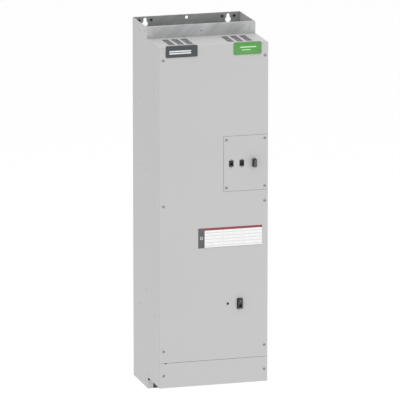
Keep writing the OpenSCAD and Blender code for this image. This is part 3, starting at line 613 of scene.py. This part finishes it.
def printed_film(low, high):
    rule_step, rule_w = 6.2, 0.9
    strip_h, foot_line, column_line = 9.0 * MM, 1.2 * MM, 0.9 * MM
    mark_x, mark_r, mark_hole_r = low.x + 13 * MM, 6.0 * MM, 3.6 * MM
    finish, tree, shader = new_finish("printed_film")
    place = object_place(tree)
    axes = wire_in(tree, "ShaderNodeSeparateXYZ", {"Vector": place}).outputs
    across, up = axes["X"], axes["Z"]
    soot = noise(tree, place, 120.0, 3.0)
    tint = blend_tints(tree, span(tree, soot, 0.0, 1.0), (0.72, 0.72, 0.72), (0.80, 0.80, 0.80))
    wave = maths(tree, "PINGPONG", maths(tree, "MULTIPLY", up, 1000.0), rule_step)
    rule = maths(tree, "LESS_THAN", wave, rule_w)
    block_end = low.x + 25 * MM
    column_ends = [block_end, low.x + 97 * MM, low.x + 171 * MM, high.x]
    for start, end in zip(column_ends, column_ends[1:]):
        inside = band(tree, across, start + 3 * MM, end - 4 * MM)
        between = band(tree, up, low.z + 4 * MM, high.z - 12 * MM)
        ruled = maths(tree, "MULTIPLY", maths(tree, "MULTIPLY", inside, between), rule)
        tint = blend_tints(tree, ruled, tint, (0.50, 0.51, 0.52))
        tint = blend_tints(tree, band(tree, across, end - column_line, end), tint, (0.35, 0.35, 0.36))
    tint = blend_tints(tree, band(tree, up, low.z, low.z + foot_line), tint, (0.12, 0.12, 0.13))
    tint = blend_tints(tree, band(tree, up, high.z - strip_h, high.z), tint, (0.24, 0.02, 0.03))
    tint = blend_tints(tree, band(tree, across, low.x, block_end), tint, (0.075, 0.078, 0.085))
    from_mark = wire_in(tree, "ShaderNodeVectorMath", {0: place, 1: (mark_x, low.y, (low.z + high.z) / 2)},
                        operation="DISTANCE").outputs["Value"]
    ring = band(tree, from_mark, mark_hole_r, mark_r)
    tint = blend_tints(tree, ring, tint, (0.55, 0.56, 0.57))
    tree.links.new(tint, shader.inputs["Base Color"])
    tree.links.new(span(tree, soot, 0.28, 0.38), shader.inputs["Roughness"])
    relief(tree, shader, soot, 0.05 * MM, 0.3)
    return finish


low, high = corners_of("rating_plate")
plate_t = (high.y - low.y) / MM
x, y, z = middle_of(low, high)
plate_mesh = tablet("rating_plate_film", (x, high.y, z), (high.x - low.x) / MM, (high.z - low.z) / MM, 2,
                    [(0.0, 0.0, 0), (0.0, plate_t - 0.2, 0), (0.2, plate_t, 0)])
plate = shown("rating_plate_film", plate_mesh, [printed_film(low, high)], "cabinet")
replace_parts(plate, "rating_plate")


# ---- Panel sockets ---------------------------------------------------------------------------
# Two black nylon data sockets, screwed in from behind. Each has a bevelled face round an open
# mouth and a grey dust-cap hinge bar pressed into its face above the mouth; the bar's light
# grey is a painted highlight.
nylon = speckled("black_nylon", (0.012, 0.012, 0.013), (0.022, 0.022, 0.024), 120.0, (0.42, 0.58),
                 2400.0, 0.06)
grey_nylon_and_painted_highlight = speckled("grey_nylon_and_painted_highlight", (0.060, 0.062, 0.066), (0.085, 0.087, 0.092), 120.0, (0.42, 0.58),
                      2400.0, 0.06)
refinished(nylon, "left_data_socket", "right_data_socket")
bar_sink, bar_up = 0.25 * MM, 5.6 * MM
for socket in ("left_data_socket", "right_data_socket"):
    low, high = corners_of(socket)
    x, y, z = middle_of(low, high)
    # Painted highlight: the bar's light grey stands in for a highlight on the upper part of the socket's
    # face.
    bar_mesh = tablet(socket + "_bar", (x, low.y + bar_sink, z + bar_up), 10, 3.4, 1.0,
                      [(0.3, -0.3, 0), (0.0, 0.0, 0), (0.0, 0.1, 0), (0.4, 0.25, 0)])
    shown(socket + "_bar", bar_mesh, [grey_nylon_and_painted_highlight], "cabinet")


# ---- Selector --------------------------------------------------------------------------------
# Bar grip moulded in black nylon: a foot, a narrower blade, a dished face with a softer grey
# insert, whose lighter grey is a painted highlight, and a dark grey pointer line inlaid in its
# upper half. It presses on to the turning shaft, in a pale grey moulded body clamped through
# the panel by its collar.
collar_grey = speckled("collar_grey", (0.44, 0.44, 0.44), (0.50, 0.50, 0.50), 120.0, (0.45, 0.6),
                       2400.0, 0.05)
refinished(collar_grey, "selector_body")
grip_w, grip_l, grip_out, collar_t = 14, 31, 22, 2.8
low, high = corners_of("selector_knob")
x, y, z = middle_of(low, high)
grip_back = cad_box[0][1] + (grip_out - collar_t) * MM
reach = (grip_back - low.y) / MM
# The last two levels, in the second finish, are the grey insert: a painted highlight on the grip's face.
grip = tablet("selector_grip", (x, grip_back, z), grip_w, grip_l, 1.7,
              [(0.3, 0.0, 0), (0.0, 0.4, 0), (0.0, 5.4, 0), (0.25, 5.8, 0), (0.75, 6.3, 0),
               (0.8, reach - 2.0, 0), (1.1, reach - 0.8, 0), (1.9, reach - 0.1, 0), (2.6, reach, 0),
               (3.4, reach - 0.3, 1), (4.0, reach - 1.0, 1)])
shaft = turned_part("selector_shaft", [(0.0, -32.0), (3.6, -32.0), (4.0, -31.6), (4.0, 3.0),
                                       (0.0, 3.0)], 48)
up_to_front = Matrix.Rotation(math.pi / 2, 4, "X")
shaft.transform(Matrix.Translation((x, grip_back + 1.0 * MM, z)) @ up_to_front)
pointer = tablet("selector_pointer", (x, low.y + 1.1 * MM, z + 7.2 * MM), 1.6, 8.5, 0.7,
                 [(0.1, -0.3, 2), (0.0, 0.25, 2), (0.25, 0.4, 2)])
pointer_grey = speckled("pointer_grey", (0.10, 0.10, 0.10), (0.16, 0.16, 0.16), 200.0, (0.4, 0.5),
                        2000.0, 0.03)
knob = shown("selector_grip", joined_mesh("selector_grip", [grip, shaft, pointer]),
             [nylon, grey_nylon_and_painted_highlight, pointer_grey], "selector")
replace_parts(knob, "selector_knob")


# ---- Breaker and its lamp --------------------------------------------------------------------
# A black moulded breaker nose with a raised cheek on either side of the lever's slot and a grey
# lever on a drum. Beside it sits a smoked lens in a black bezel, pressed into the cover.
refinished(nylon, "breaker_body")
low, high = corners_of("breaker_body")
x, y, z = middle_of(low, high)
nose_y = low.y + 0.2 * MM
cheek_off, window_off = 7.2 * MM, 15.6 * MM
cheeks = [tablet("cheek", (x + side * cheek_off, nose_y, z), 4.6, 36.5, 1.2,
                 [(0.0, 0.0, 0), (0.0, 0.8, 0), (0.4, 1.3, 0), (1.1, 1.5, 0)]) for side in (-1, 1)]
cheeks += [tablet("window", (x, nose_y, z + end * window_off), 7.4, 4.2, 0.8,
                  [(0.0, 0.0, 1), (0.0, 0.5, 1), (0.3, 0.8, 1)]) for end in (-1, 1)]
shown("breaker_cheeks", joined_mesh("breaker_cheeks", cheeks), [nylon, grey_nylon_and_painted_highlight], "cabinet")
lever_grey = speckled("lever_grey", (0.11, 0.112, 0.115), (0.16, 0.162, 0.165), 150.0, (0.4, 0.55),
                      2400.0, 0.05)
eased_sheet("breaker_lever", 0.7 * MM, lever_grey, "breaker_handle")

low, high = corners_of("indicator_lens")
x, y, z = middle_of(low, high)
bezel = turned_part("lens_bezel", [(2.9, 0.0), (4.8, 0.0), (4.8, 0.5), (4.4, 0.95), (3.6, 0.95),
                                   (3.2, 0.5), (2.9, 0.0)], 40)
dome = turned_part("lens_dome", [(0.0, -9.0), (2.8, -9.0), (3.1, 0.1), (2.7, 0.5), (1.7, 0.8),
                                 (0.8, 0.92), (0.0, 0.95)], 40)
for turned in (bezel, dome):
    turned.transform(Matrix.Translation((x, low.y + 1.0 * MM, z)) @ up_to_front)
for polygon in dome.polygons:
    polygon.material_index = 1
smoked = speckled("smoked_lens", (0.018, 0.018, 0.02), (0.03, 0.03, 0.033), 300.0, (0.08, 0.14),
                  900.0, 0.02)
lens = shown("indicator_lamp", joined_mesh("indicator_lamp", [bezel, dome]), [nylon, smoked],
             "cabinet")
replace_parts(lens, "indicator_lens")


# ---- Wire screens under the roof slots -------------------------------------------------------
# Mesh of galvanised wire in two layers, welded where they cross and spot-welded under each
# group of slots. It keeps fingers and small parts out and lets the warm air rise.
def wire_row(tree, given, over, length, step_axis, wire_axis):
    """Straight wires side by side over one measure, each as long as the other."""
    count = maths(tree, "ADD", maths(tree, "DIVIDE", given[over], given["Pitch"]), 1.0)
    step = fed(tree, "ShaderNodeCombineXYZ", {step_axis: given["Pitch"]})
    row = fed(tree, "GeometryNodeMeshLine", {"Count": count, "Offset": step})
    end = fed(tree, "ShaderNodeCombineXYZ", {wire_axis: given[length]})
    return placed_on(tree, row, fed(tree, "GeometryNodeCurvePrimitiveLine", {"End": end}))


def as_wire(tree, given, paths, sides):
    """Round wire along one or more groups of paths."""
    both = tree.nodes.new("GeometryNodeJoinGeometry")
    for path in paths:
        tree.links.new(path, both.inputs[0])
    section = fed(tree, "GeometryNodeCurvePrimitiveCircle", {"Resolution": sides,
                                                             "Radius": given["Wire radius"]})
    return fed(tree, "GeometryNodeCurveToMesh", {"Curve": made_real(tree, both.outputs[0]),
                                                 "Profile Curve": section, "Fill Caps": True})


def raised_by(tree, geometry, given, radii):
    """Geometry moved up by so many wire radii."""
    lift = maths(tree, "MULTIPLY", given["Wire radius"], radii)
    return fed(tree, "GeometryNodeTransform", {"Geometry": geometry, "Translation": fed(
        tree, "ShaderNodeCombineXYZ", {"Z": lift})})


def screen_tree():
    weft_under = -1.9
    tree, given = new_tree("wire_screen", [("Corner", "Geometry"), ("Width", "Float"), ("Length", "Float"),
                                           ("Pitch", "Float"), ("Wire radius", "Float")])
    warp = wire_row(tree, given, "Width", "Length", "X", "Y")
    weft = wire_row(tree, given, "Length", "Width", "Y", "X")
    wires = as_wire(tree, given, [warp, raised_by(tree, weft, given, weft_under)], 6)
    return ended(tree, given, placed_on(tree, given["Corner"], wires))


screen_wire = speckled("screen_wire", (0.30, 0.30, 0.31), (0.42, 0.42, 0.43), 300.0, (0.4, 0.55), 2500.0,
                       0.04, 0.4)
screen_w, screen_l, from_side, from_front, wire_r = 106 * MM, 130 * MM, 44 * MM, 20 * MM, 0.5 * MM
low, high = corners_of("roof_plate")
screen_z = high.z - 2.6 * MM
corners = bpy.data.meshes.new("screen_corners")
corners.from_pydata([(low.x + from_side, low.y + from_front, screen_z),
                     (high.x - from_side - screen_w, low.y + from_front, screen_z)], [], [])
grown("roof_screens", corners, screen_tree(),
      {"Width": screen_w, "Length": screen_l, "Pitch": 2.5 * MM, "Wire radius": wire_r},
      screen_wire)


# ---- Fans and their finger guards ------------------------------------------------------------
# Glass-filled black nylon rotors turn on pins in cast housings. Over each lies a guard of
# round rings welded on to four straight wires, nickel plated.
def guard_tree():
    ring_lift, spoke_start = 1.25, 0.92
    tree, given = new_tree("finger_guard", [("Centre", "Geometry"), ("Rings", "Int"),
                                            ("First ring", "Float"), ("Ring step", "Float"),
                                            ("Wire radius", "Float"), ("Reach", "Float")])
    index = fed(tree, "GeometryNodeInputIndex")
    row = fed(tree, "GeometryNodeMeshLine", {"Count": given["Rings"], "Offset": (0.0, 0.0, 0.0)})
    size = maths(tree, "ADD", maths(tree, "MULTIPLY", index, given["Ring step"]), given["First ring"])
    ring = fed(tree, "GeometryNodeCurvePrimitiveCircle", {"Resolution": 72, "Radius": 1.0})
    rings = raised_by(tree, placed_on(tree, row, ring, Scale=size), given, ring_lift)
    inner = maths(tree, "MULTIPLY", given["First ring"], spoke_start)
    spoke = fed(tree, "GeometryNodeCurvePrimitiveLine",
                {"Start": fed(tree, "ShaderNodeCombineXYZ", {"X": inner}),
                 "End": fed(tree, "ShaderNodeCombineXYZ", {"X": given["Reach"]})})
    four = fed(tree, "GeometryNodeMeshLine", {"Count": 4, "Offset": (0.0, 0.0, 0.0)})
    angle = maths(tree, "ADD", maths(tree, "MULTIPLY", index, 0.5 * math.pi), 0.25 * math.pi)
    turn = fed(tree, "FunctionNodeEulerToRotation", {0: fed(tree, "ShaderNodeCombineXYZ", {"Z": angle})})
    wires = as_wire(tree, given, [rings, placed_on(tree, four, spoke, Rotation=turn)], 10)
    return ended(tree, given, placed_on(tree, given["Centre"], wires))


fan_nylon = speckled("fan_nylon", (0.020, 0.020, 0.021), (0.034, 0.034, 0.036), 90.0, (0.4, 0.55), 1500.0,
                     0.1)
fan_cast = speckled("fan_cast", (0.035, 0.036, 0.038), (0.055, 0.056, 0.058), 60.0, (0.5, 0.65), 700.0, 0.2)
refinished(fan_nylon, "left_fan_rotor", "right_fan_rotor")
refinished(fan_cast, "left_fan_frame", "right_fan_frame")
nickel_wire = speckled("nickel_wire", (0.48, 0.47, 0.45), (0.62, 0.61, 0.59), 200.0, (0.22, 0.34), 1500.0,
                       0.04, 0.95)
guards = guard_tree()
guard_wire_r = 1.2 * MM
for guard in ("left_fan_guard", "right_fan_guard"):
    low, high = corners_of(guard)
    x, y, z = middle_of(low, high)
    centre = bpy.data.meshes.new(guard + "_centre")
    centre.from_pydata([(x, y, low.z + guard_wire_r)], [], [])
    welded = grown(guard + "_wires", centre, guards,
                   {"Rings": 5, "First ring": 24 * MM, "Ring step": 13 * MM, "Wire radius": guard_wire_r,
                    "Reach": (high.x - low.x) / math.sqrt(2.0) - guard_wire_r}, nickel_wire)
    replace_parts(welded, guard)


# ---- Heatsink and power modules --------------------------------------------------------------
# The heatsink is extruded aluminium, with die lines along its fins. The modules are black
# filled epoxy on it, and a green driver board sits on their terminals.
extruded = speckled("extruded_aluminium", (0.42, 0.43, 0.44), (0.56, 0.57, 0.58), 40.0, (0.32, 0.46),
                    160.0, 0.1, 0.85, (8.0, 8.0, 0.3))
epoxy = speckled("filled_epoxy", (0.022, 0.023, 0.025), (0.036, 0.037, 0.040), 70.0, (0.45, 0.6), 1300.0,
                 0.1)
refinished(extruded, "heatsink")
refinished(epoxy, "rectifier_module", "power_module_1", "power_module_2", "power_module_3")


# ---- Link capacitors and bus bars ------------------------------------------------------------
# Aluminium cans in blue shrink sleeves are held by a punched shelf. Bare copper bars join
# their studs and rise to the modules.
sleeve = speckled("blue_sleeve", (0.020, 0.050, 0.150), (0.030, 0.070, 0.190), 30.0, (0.25, 0.38), 350.0,
                  0.1)
bar_copper = speckled("bar_copper", (0.52, 0.25, 0.13), (0.66, 0.34, 0.19), 25.0, (0.28, 0.42), 420.0,
                      0.06, 0.95, (0.3, 4.0, 4.0))
refinished(sleeve, "dc_capacitor_1", "dc_capacitor_2", "dc_capacitor_3", "dc_capacitor_4")
refinished(bar_copper, "positive_bus_bar", "negative_bus_bar")


# ---- Line choke ------------------------------------------------------------------------------
# A three-legged core of stacked silicon-steel strips. Each leg carries a coil of flat enamelled
# copper wound on edge, so the turns lie on one another like a stack of frames.
def lamination(name):
    """Varnished sheet stack: thin dark joints between strips along the stacking direction."""
    strips_per_metre, joint_w = 1400.0, 0.2
    finish, tree, shader = new_finish(name)
    place = object_place(tree)
    depth = wire_in(tree, "ShaderNodeSeparateXYZ", {"Vector": place}).outputs["Y"]
    joint = maths(tree, "PINGPONG", maths(tree, "MULTIPLY", depth, strips_per_metre), 0.5)
    rust = noise(tree, place, 45.0, 4.0)
    tone = blend_tints(tree, span(tree, rust, 0.0, 1.0), (0.10, 0.10, 0.105), (0.17, 0.168, 0.165))
    edge = span(tree, joint, 0.0, 1.0, 0.0, joint_w)
    tree.links.new(blend_tints(tree, edge, (0.04, 0.04, 0.042), tone), shader.inputs["Base Color"])
    tree.links.new(span(tree, rust, 0.45, 0.65), shader.inputs["Roughness"])
    relief(tree, shader, edge, 0.1 * MM, 0.5)
    shader.inputs["Metallic"].default_value = 0.6
    return finish


def edge_coil_tree():
    tree, given = new_tree("edge_wound_coil", [("Foot", "Geometry"), ("Turns", "Int"), ("Width", "Float"),
                                               ("Depth", "Float"), ("Corner", "Float"), ("Pitch", "Float"),
                                               ("Strip width", "Float"), ("Strip thickness", "Float")])
    path = fed(tree, "GeometryNodeCurvePrimitiveQuadrilateral",
               {"Width": given["Width"], "Height": given["Depth"]})
    rounded = fed(tree, "GeometryNodeFilletCurve", {"Curve": path, "Radius": given["Corner"], "Count": 8},
                  mode="POLY")
    level = fed(tree, "GeometryNodeSetCurveNormal", {"Curve": rounded}, mode="Z_UP")
    strip = fed(tree, "GeometryNodeCurvePrimitiveQuadrilateral",
                {"Width": given["Strip width"], "Height": given["Strip thickness"]})
    one = fed(tree, "GeometryNodeCurveToMesh", {"Curve": level, "Profile Curve": strip})
    step = fed(tree, "ShaderNodeCombineXYZ", {"Z": given["Pitch"]})
    row = fed(tree, "GeometryNodeMeshLine", {"Count": given["Turns"], "Offset": step})
    stack = made_real(tree, placed_on(tree, row, one))
    return ended(tree, given, placed_on(tree, given["Foot"], stack))


refinished(lamination("laminated_steel"), "choke_core")
enamel_copper = speckled("enamelled_copper", (0.36, 0.14, 0.06), (0.50, 0.21, 0.09), 60.0, (0.2, 0.32),
                         300.0, 0.06, 0.7)
coils = edge_coil_tree()
turns, strip_w, strip_share, bend_r = 39, 21.4 * MM, 0.8, 11.2 * MM
for winding in ("choke_winding_1", "choke_winding_2", "choke_winding_3"):
    low, high = corners_of(winding)
    x, y, z = middle_of(low, high)
    pitch = (high.z - low.z) / turns
    foot = bpy.data.meshes.new(winding + "_foot")
    foot.from_pydata([(x, y, low.z + pitch / 2)], [], [])
    wound = grown(winding + "_turns", foot, coils,
                  {"Turns": turns, "Width": high.x - low.x - strip_w, "Depth": high.y - low.y - strip_w,
                   "Corner": bend_r, "Pitch": pitch, "Strip width": strip_w,
                   "Strip thickness": strip_share * pitch}, enamel_copper)
    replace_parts(wound, winding)


# ---- Boards ----------------------------------------------------------------------------------
# Green glass-epoxy boards on brass stand-offs. Their large parts are part of the board pieces,
# and rows of small chips are soldered on the free face of each.
def solder_mask(name):
    """Green solder mask over fine copper tracks, which show as a lighter raised pattern."""
    finish, tree, shader = new_finish(name)
    place = object_place(tree)
    laid_flat = fed(tree, "ShaderNodeMapping", {"Vector": place, "Rotation": (math.pi / 2, 0.0, 0.0)})
    tracks = wire_in(tree, "ShaderNodeTexBrick", {"Vector": laid_flat, "Scale": 90.0,
                                                  "Mortar Size": 0.03}).outputs["Fac"]
    tree.links.new(blend_tints(tree, tracks, (0.012, 0.085, 0.040), (0.020, 0.135, 0.065)),
                   shader.inputs["Base Color"])
    tree.links.new(span(tree, noise(tree, place, 60.0), 0.25, 0.4), shader.inputs["Roughness"])
    relief(tree, shader, tracks, 0.05 * MM, 0.4)
    return finish


refinished(solder_mask("solder_mask"), "control_board", "power_supply_board", "gate_driver_board")
chip = tablet("chip", (0.0, 0.0, 0.0), 5.0, 3.2, 0.3, [(0.0, 0.0, 0), (0.0, 1.0, 0), (0.3, 1.3, 0)])
chip.transform(Matrix.Rotation(-math.pi / 2, 4, "X"))
chip_black = speckled("chip_black", (0.016, 0.016, 0.017), (0.028, 0.028, 0.030), 200.0, (0.4, 0.5),
                      1800.0, 0.05)
board_t, margin, part_gap, chip_gap_x, chip_gap_z, tries = 1.6, 14.0, 4, 7, 6, 220
large_parts = {"control_board": [(14, 24, 86, 48), (104, 54, 156, 106), (184, 34, 220, 70),
                                 (14, 144, 146, 170), (224, 84, 286, 166)],
               "power_supply_board": [(24, 24, 96, 96), (114, 34, 156, 116), (174, 24, 266, 66),
                                      (34, 124, 136, 176), (174, 94, 256, 186)]}
chance = random.Random(706)
for board, taken in large_parts.items():
    low, high = corners_of(board)
    free = []
    for _ in range(tries):
        x = chance.uniform(margin, (high.x - low.x) / MM - margin)
        z = chance.uniform(margin, (high.z - low.z) / MM - margin)
        clear = all(not (x0 - part_gap < x < x1 + part_gap and z0 - part_gap < z < z1 + part_gap)
                    for x0, z0, x1, z1 in taken)
        apart = all(abs(x - a) > chip_gap_x or abs(z - b) > chip_gap_z for a, b in free)
        if clear and apart:
            free.append((x, z))
    seats = [((low.x + x * MM, high.y - board_t * MM, low.z + z * MM), to_front) for x, z in free]
    set_parts(board + "_chips", seats, chip, chip_black)
bpy.data.meshes.remove(chip)
brass = speckled("turned_brass", (0.52, 0.38, 0.14), (0.64, 0.49, 0.21), 70.0, (0.25, 0.38), 600.0, 0.05,
                 0.9)
refinished(brass, "board_standoffs", "earth_bar")


# ---- Cable chamber ---------------------------------------------------------------------------
# A grey terminal block with a plated clamp screw in each well, a contactor and a row of
# ceramic fuses stand behind the lower covers.
terminal_grey = speckled("terminal_grey", (0.11, 0.115, 0.12), (0.16, 0.165, 0.17), 60.0, (0.45, 0.6),
                         1300.0, 0.1)
fuse_ceramic = speckled("fuse_ceramic", (0.62, 0.60, 0.55), (0.74, 0.72, 0.67), 45.0, (0.3, 0.45), 900.0,
                        0.06)
refinished(terminal_grey, "mains_terminal_block", "contactor")
refinished(fuse_ceramic, "line_fuses")
poles, well_floor = 6, 19.8 * MM
low, high = corners_of("mains_terminal_block")
clamp_seats = [((low.x + (high.x - low.x) * (k + 0.5) / poles, low.y + well_floor, (low.z + high.z) / 2),
                to_front) for k in range(poles)]
clamp_screw = turned_part("clamp_screw", [(0.0, 0.0), (5.4, 0.0)] + crown_profile(5.4, 4.0, 2.6, 8), 48,
                          cross_recess(3.4, 0.8, 1.6))
set_parts("clamp_screws", clamp_seats, clamp_screw, screw_zinc, ANY_TURN, 5)
